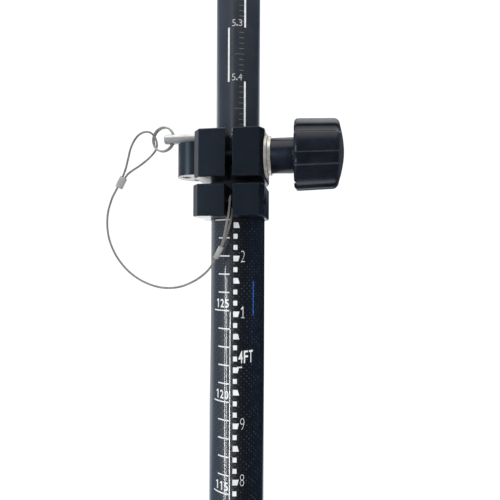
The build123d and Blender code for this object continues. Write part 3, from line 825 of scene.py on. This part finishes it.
def make_knob(material):
    """Moulded knob: neck, a lobed grip whose rounded edges follow the lobes, and a domed end."""
    count = 420
    start, end = KNOB_LOW.x, KNOB_HIGH.x
    grip = KNOB_GRIP_X
    loops = []

    def plain(x, radius):
        loops.append(ring_x(x, radius, count, SCREW_Y, SCREW_Z))

    def lobed(x, inset, share=1.0):
        loops.append(ring_x(x, lambda angle: (flute_radius(angle) - inset) * share, count, SCREW_Y, SCREW_Z))

    plain(start, KNOB_BORE_R)
    plain(start, KNOB_NECK_R - 0.35 * MM)
    plain(start + 0.1 * MM, KNOB_NECK_R - 0.1 * MM)
    plain(start + 0.35 * MM, KNOB_NECK_R)
    plain(grip - 0.5 * MM, KNOB_NECK_R)
    plain(grip - 0.15 * MM, KNOB_NECK_R + 0.12 * MM)
    plain(grip, KNOB_NECK_R + 0.5 * MM)
    for step in range(9):
        angle = pi / 2 * step / 8
        lobed(grip + KNOB_RIM * (1 - cos(angle)), KNOB_RIM * (1 - sin(angle)))
    straight = end - KNOB_SHOULDER - grip - KNOB_RIM
    for step in range(1, 13):
        lobed(grip + KNOB_RIM + straight * step / 12, KNOB_TAPER * step / 12)
    shoulder_length = KNOB_SHOULDER - KNOB_DOME
    for step in range(1, 11):
        angle = pi / 2 * step / 10
        inset = KNOB_TAPER + KNOB_SHOULDER_R * (1 - cos(angle))
        lobed(end - KNOB_SHOULDER + shoulder_length * sin(angle), inset)
    for step in range(1, 12):
        share = 1 - step / 12
        lobed(end - KNOB_DOME * share ** 1.8, KNOB_TAPER + KNOB_SHOULDER_R, share)
    plain(end, 0.4 * MM)
    knob = piece("lobed_knob", [loft(loops)], sharp=50)
    paint(knob, material)
    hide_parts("knob")
    return knob


def make_washer(name, node, bore, material):
    """A turned washer on the knob's axis, with rounded rims."""
    low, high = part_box(node)
    outer = (high.z - low.z) / 2
    profile = rounded([(low.x, bore), (high.x, bore), (high.x, outer), (low.x, outer)], 0.35 * MM, 5)
    washer = piece(name, [loft([ring_x(x, r, 128, SCREW_Y, SCREW_Z) for x, r in profile], closed=True)])
    paint(washer, material)
    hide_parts(node)
    return washer


def make_clamp_screw(material):
    """The M8 stud that crosses the upper clamp, with its thread."""
    radius = (SCREW_HIGH.z - SCREW_LOW.z) / 2
    pitch = 1.25 * MM
    depth = 0.62 * MM
    chamfer = 0.8 * MM
    per_turn = 12
    rows = int((SCREW_HIGH.x - SCREW_LOW.x) / pitch * per_turn)
    count = 40
    loops = []
    for row in range(rows + 1):
        x = SCREW_LOW.x + (SCREW_HIGH.x - SCREW_LOW.x) * row / rows
        ends = min(1.0, (x - SCREW_LOW.x) / chamfer, (SCREW_HIGH.x - x) / chamfer)

        def thread(angle):
            phase = (x / pitch - angle / tau) % 1
            cut = min(1.0, max(0.0, abs(phase - 0.5) * 2.6 - 0.15))
            return radius - depth * cut - 0.5 * MM * (1 - max(0.0, ends))

        loops.append(ring_x(x, thread, count, SCREW_Y, SCREW_Z))
    screw = piece("clamp_screw_thread", [loft(loops)], sharp=60)
    paint(screw, material)
    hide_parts("clamp_screw")
    return screw


# ---------------------------------------------------------------------- pin's split ring
def make_split_ring(material):
    """One wire wound twice, coil beside coil, with a step between them and ground ends."""
    low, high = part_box("split_ring")
    side = RING_PITCH / 2
    swing = Matrix.Rotation(-RING_SWING, 3, "Z")
    hole = Vector((PIN_EYE_X, 0, (low.z + high.z) / 2))
    points = []
    steps = 300
    for step in range(steps + 1):
        turned = 2 * tau * step / steps * 0.992
        crossing = min(1.0, max(0.0, (turned - tau) / RING_CROSSING + 0.5))
        y = side * (2 * crossing * crossing * (3 - 2 * crossing) - 1)
        angle = RING_START + turned
        place = Vector((RING_PLAY - RING_R + RING_R * cos(angle), y, RING_R * sin(angle)))
        points.append(hole + swing @ place)
    ring = piece("split_ring_wire", [sweep(np.array(points), RING_WIRE_R, 14)], sharp=60)
    paint(ring, material)
    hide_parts("split_ring")
    return ring


# -------------------------------------------------------------------------- top and foot
def make_stud(material):
    """The 5/8-11 stud that carries the prism, with its thread."""
    low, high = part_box("prism_stud")
    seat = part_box("top_adapter")[1].z
    radius = high.x
    pitch = 25.4 * MM / 11
    depth = 1.2 * MM
    chamfer = 1.3 * MM
    root = 6 * MM
    count = 72
    loops = [ring_z(low.z, root - 0.3 * MM, count), ring_z(low.z + 0.3 * MM, root, count)]
    loops.append(ring_z(seat + 0.01 * MM, root, count))
    rows = 110
    for row in range(rows + 1):
        z = seat + 0.05 * MM + (high.z - seat - 0.05 * MM) * row / rows

        def thread(angle):
            phase = (z / pitch - angle / tau) % 1
            cut = min(1.0, max(0.0, abs(phase - 0.5) * 2.5 - 0.12))
            top = max(0.0, (z - high.z + chamfer) / chamfer)
            return min(radius - depth * cut, radius - chamfer * top)

        loops.append(ring_z(z, thread, count))
    stud = piece("stud_thread", [loft(loops)], sharp=50)
    paint(stud, material)
    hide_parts("prism_stud")
    return stud


def make_knurl(material):
    """Diamond knurling round the steel point's collar."""
    bottom = 30.6 * MM
    top = 39.4 * MM
    radius = 9.46 * MM
    count = 240
    rows = 48
    starts = 30
    loops = [ring_z(bottom, radius - 0.5 * MM, count)]
    for row in range(rows + 1):
        z = bottom + (top - bottom) * row / rows
        edge = min(1.0, row / 3, (rows - row) / 3)

        def diamonds(angle):
            twist = (z - bottom) / (tau * radius) * starts * tau
            one = abs(sin((starts * angle + twist) / 2))
            two = abs(sin((starts * angle - twist) / 2))
            return radius + (0.3 * MM * min(one, two) * 1.3 - 0.02 * MM) * edge

        loops.append(ring_z(z, diamonds, count))
    loops.append(ring_z(top, radius - 0.5 * MM, count))
    knurl = piece("point_knurl", [loft(loops)], sharp=25)
    paint(knurl, material)
    return knurl


def make_level_circle(material):
    """The black circle printed on the level's glass, for its bubble."""
    low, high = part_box("vial_glass")
    centre = (low + high) / 2
    top = high.z - 0.12 * MM
    count = 96
    loops = []
    for radius, z in ((2.55, 0.0), (2.95, -0.035), (2.95, -0.2), (2.55, -0.2)):
        loops.append([
            (centre.x + radius * MM * cos(tau * k / count), centre.y + radius * MM * sin(tau * k / count),
             top + z * MM) for k in range(count)
        ])
    circle = piece("level_circle", [loft(loops, closed=True)])
    paint(circle, material)
    return circle


# ----------------------------------------------------------------------------- surroundings
def make_floor():
    """A wide, round, pale floor that the point stands on."""
    floor = piece("floor", [loft([ring_z(-0.0004, 14.0, 96), ring_z(-0.02, 14.0, 96)])])
    paint(floor, floor_paint())
    floor.visible_glossy = False


def area_light(name, place, target, width, height, power, glossy=True, diffuse=True):
    """A rectangular light that looks at target. It may be left out of reflections or of soft light."""
    data = bpy.data.lights.new(name, "AREA")
    data.shape = "RECTANGLE"
    data.size = width
    data.size_y = height
    data.energy = power
    light = bpy.data.objects.new(name, data)
    light.location = place
    light.rotation_mode = "QUATERNION"
    light.rotation_quaternion = (Vector(target) - Vector(place)).to_track_quat("-Z", "Y")
    light.visible_glossy = glossy
    light.visible_diffuse = diffuse
    light.visible_camera = False
    bpy.context.scene.collection.objects.link(light)
    return light


def around_pole(degrees, distance, height):
    """A place round the pole. Degrees count from the camera's side towards the knob."""
    angle = radians(degrees + 10.3)
    return distance * sin(angle), -distance * cos(angle), height


def make_world():
    """White studio: bright behind and above the object, and dim on the side it is seen from."""
    world = bpy.data.worlds.new("studio")
    bpy.context.scene.world = world
    world.use_nodes = True
    nodes = world.node_tree.nodes
    links = world.node_tree.links
    nodes.clear()

    def add(kind, inputs, **settings):
        node = nodes.new(kind)
        for key, value in settings.items():
            setattr(node, key, value)
        for key, value in inputs.items():
            if isinstance(value, bpy.types.NodeSocket):
                links.new(value, node.inputs[key])
            else:
                node.inputs[key].default_value = value
        return node

    direction = add("ShaderNodeTexCoord", {}).outputs["Generated"]
    parts = add("ShaderNodeSeparateXYZ", {0: direction}).outputs

    def towards(degrees, rise=0.0):
        level = (1 - rise * rise) ** 0.5
        return add("ShaderNodeVectorMath", {0: direction, 1: around_pole(degrees, level, rise)},
                   operation="DOT_PRODUCT").outputs["Value"]

    def ramp(value, low, high, brightness):
        return add("ShaderNodeMapRange", {"Value": value, "From Min": low, "From Max": high,
                                          "To Max": brightness}, interpolation_type="SMOOTHSTEP").outputs[0]

    def brighter(a, b, operation="MAXIMUM"):
        return add("ShaderNodeMath", {0: a, 1: b}, operation=operation).outputs[0]

    def times(a, b):
        return brighter(a, b, "MULTIPLY")

    def mixed(share, a, b):
        node = add("ShaderNodeMix", {0: share}, data_type="RGBA")
        for socket, colour in ((6, a), (7, b)):
            if isinstance(colour, bpy.types.NodeSocket):
                links.new(colour, node.inputs[socket])
            else:
                node.inputs[socket].default_value = (*colour, 1)
        return node.outputs[2]

    upward = ramp(parts["Z"], 0.12, 0.3, 1)
    straight_behind = ramp(towards(-168), 0.91, 0.985, 3.0)
    behind_left = ramp(towards(-140), 0.7, 0.95, 0.85)
    behind_right = times(ramp(towards(155), 0.75, 0.97, 1.2), upward)
    left = ramp(towards(-85), 0.3, 1.0, 0.5)
    left = brighter(left, times(ramp(towards(-155), 0.75, 0.97, 1.8), upward))
    right = ramp(towards(80), 0.6, 0.95, 0.03)
    above = ramp(parts["Z"], 0.5, 0.85, 1.3)
    low_behind = ramp(towards(180, -0.75), 0.78, 0.95, 0.9)
    sides = brighter(brighter(behind_left, behind_right), brighter(left, right))
    most = brighter(brighter(sides, straight_behind), brighter(above, low_behind))
    strength = brighter(most, 0.02, "ADD")
    rays = add("ShaderNodeLightPath", {}).outputs
    cool = mixed(strength, (0.45, 0.8, 1.35), (1, 1, 1))
    reflected = add("ShaderNodeVectorMath", {0: cool, "Scale": strength}, operation="SCALE").outputs[0]
    lit = mixed(rays["Is Diffuse Ray"], reflected, (1.13, 1.13, 1.13))
    shown = mixed(rays["Is Camera Ray"], lit, (1.05, 1.05, 1.05))
    light = add("ShaderNodeBackground", {"Color": shown, "Strength": 1.0})
    add("ShaderNodeOutputWorld", {"Surface": light.outputs[0]})


def receivers(name, things):
    """A collection of the things that a light is meant for."""
    made = bpy.data.collections.new(name)
    for thing in things:
        made.objects.link(thing)
    return made


def make_lights():
    """Soft fill, a cool panel for the clamps, and thin tubes that draw lines down the pole."""
    objects = bpy.data.objects
    nodes = frame["nodes"]
    area_light("fill_front", around_pole(-15, 1.9, 1.8), (0, 0, 1.3), 1.6, 1.6, 3, glossy=False)
    panel = area_light("panel_left", around_pole(-50, 1.2, 1.4), (0, 0, 1.32), 0.45, 0.6, 3.4, diffuse=False)
    panel.data.color = (0.6, 0.85, 1.0)
    panel.light_linking.receiver_collection = receivers(
        "clamp_parts", (nodes["upper_clamp"], nodes["lower_clamp"], objects["lobed_knob"])
    )
    poles = receivers("pole_parts", (
        objects["carbon_tube"], objects["metric_scale"], objects["foot_scale"], nodes["inner_tube"],
    ))
    distance = 0.8
    for name, degrees, low, high, width, power, colour in (
        ("tube_left", -51, 0.5, 1.25, 0.012, 1.5, (1, 1, 1)),
        ("tube_middle_left", -44, 0.5, 1.22, 0.01, 1.2, (1, 1, 1)),
        ("tube_near_left", -29.4, 0.1, 1.13, 0.022, 3.6, (1, 1, 1)),
        ("tube_right", 69, 1.12, 1.21, 0.03, 0.16, (0.05, 0.25, 1)),
        ("tube_high", -35, 1.4, 1.9, 0.02, 0.6, (1, 1, 1)),
    ):
        middle = (low + high) / 2
        tube = area_light(name, around_pole(degrees, distance, middle), (0, 0, middle), width, high - low,
                          power, diffuse=False)
        tube.data.color = colour
        tube.light_linking.receiver_collection = poles


# ---------------------------------------------------------------------------- assembly
def paint_cad_nodes():
    """Materials for the CAD nodes that stay as they are."""
    nodes = frame["nodes"]
    clamps = anodised("anodised_clamps", (0.004, 0.007, 0.013), 0.27, grain=0.01)
    inner = anodised("anodised_tube", (0.017, 0.022, 0.031), 0.3, grain=0.004, drawn=True)
    bright = steel("clear_aluminium", (0.62, 0.62, 0.61), 0.32, (0.15, 0.15, 1), 0.2, dull=0.5)
    tool = steel("tool_steel", (0.42, 0.42, 0.42), 0.3, (0.2, 0.2, 1), 0.35, dull=0.4)
    sheen = steel("polished_pin", (0.85, 0.82, 0.76), 0.3, (0.08, 1, 1), 0.2, 0.006, dull=0.3)
    dark = steel("black_steel", (0.05, 0.05, 0.052), 0.38, None, 0.4)
    rivets = steel("rivet_aluminium", (0.6, 0.6, 0.6), 0.34, None, 0.3, dull=0.4)
    white = acetal()
    for names, material in (
        (("lower_clamp", "upper_clamp"), clamps),
        (("inner_tube",), inner),
        (("shoe", "bottom_plug", "top_adapter"), bright),
        (("point_tip",), tool),
        (("lock_pin",), sheen),
        (("lower_clamp_screw", "vial_screws", "bush_circlip"), dark),
        (("plug_rivets", "adapter_rivets"), rivets),
        (("collet",), plastic("acetal_black", (0.012, 0.013, 0.015), 0.42, 0.006)),
        (("glide_bush",), white),
        (("vial_case",), anodised("level_case", (0.012, 0.012, 0.013), 0.35)),
        (("vial_liquid",), level_liquid()),
        (("vial_glass",), level_glass()),
        (("vial_pad",), rubber()),
    ):
        for name in names:
            paint(nodes[name], material)
    return tool


def build():
    """Everything that is seen; each piece of the pole but the wire rope goes on its CAD body."""
    make_camera()
    rope_metal = steel("rope_wire", (0.4, 0.385, 0.36), 0.48, None, 0.4, dull=0.6)
    crimp = steel("crimp_metal", (0.55, 0.54, 0.51), 0.45, None, 0.25, dull=0.6)
    rope, line, length = make_lanyard(rope_metal)
    upper = make_ferrule("upper_ferrule", "ring_ferrule", (-73.24, -3.0, 1321.12), (-70.05, -3.0, 1327.35),
                         (6.23, 0, -3.19), crimp)
    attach(upper, "locking_pin")
    lower = make_ferrule("lower_ferrule", "clamp_ferrule", (-8.1, -21.05, 1278.7), (-5.0, -21.05, 1284.98),
                         (0, 1, 0), crimp)
    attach(lower, "lower_pole")

    ink = printed("ink_white", (0.8, 0.82, 0.82))
    faint_ink = printed("ink_grey", (0.17, 0.19, 0.21), 0.2)
    label_ink = printed("ink_label", (0.55, 0.56, 0.56), 0.2)
    tool = paint_cad_nodes()
    on_lower = [
        make_lower_tube(carbon_tube()), make_metric_scale(ink), make_foot_scale(ink), make_knurl(tool),
        make_level_circle(plastic("level_ink", (0.01, 0.01, 0.01), 0.5, 0.001)),
    ]
    for made in on_lower:
        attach(made, "lower_pole")
    for made in (*make_inner_scale(ink, label_ink, faint_ink), make_stud(tool)):
        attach(made, "inner_pole")
    ring_metal = steel("ring_wire", (0.55, 0.54, 0.5), 0.3, None, 0.3, dull=0.4)
    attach(make_split_ring(ring_metal), "locking_pin")

    zinc = turned_steel("washer_zinc", (0.74, 0.71, 0.64), 0.3, SCREW_Y, SCREW_Z)
    mirror = turned_steel("washer_polished", (0.86, 0.82, 0.73), 0.18, SCREW_Y, SCREW_Z)
    carried = [
        make_washer("washer_large", "clamp_washer", CLAMP_WASHER_BORE_R, zinc),
        make_washer("washer_small", "thrust_washer", THRUST_WASHER_BORE_R, mirror),
    ]
    for made in carried:
        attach(made, "knob_carrier")
    thread_metal = steel("thread_zinc", (0.12, 0.12, 0.12), 0.4, None, 0.4)
    for made in (make_knob(knob_plastic()), make_clamp_screw(thread_metal)):
        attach(made, "clamp_knob")

    make_floor()
    make_world()
    make_lights()
    bpy.context.scene.view_settings.view_transform = "Standard"


build()
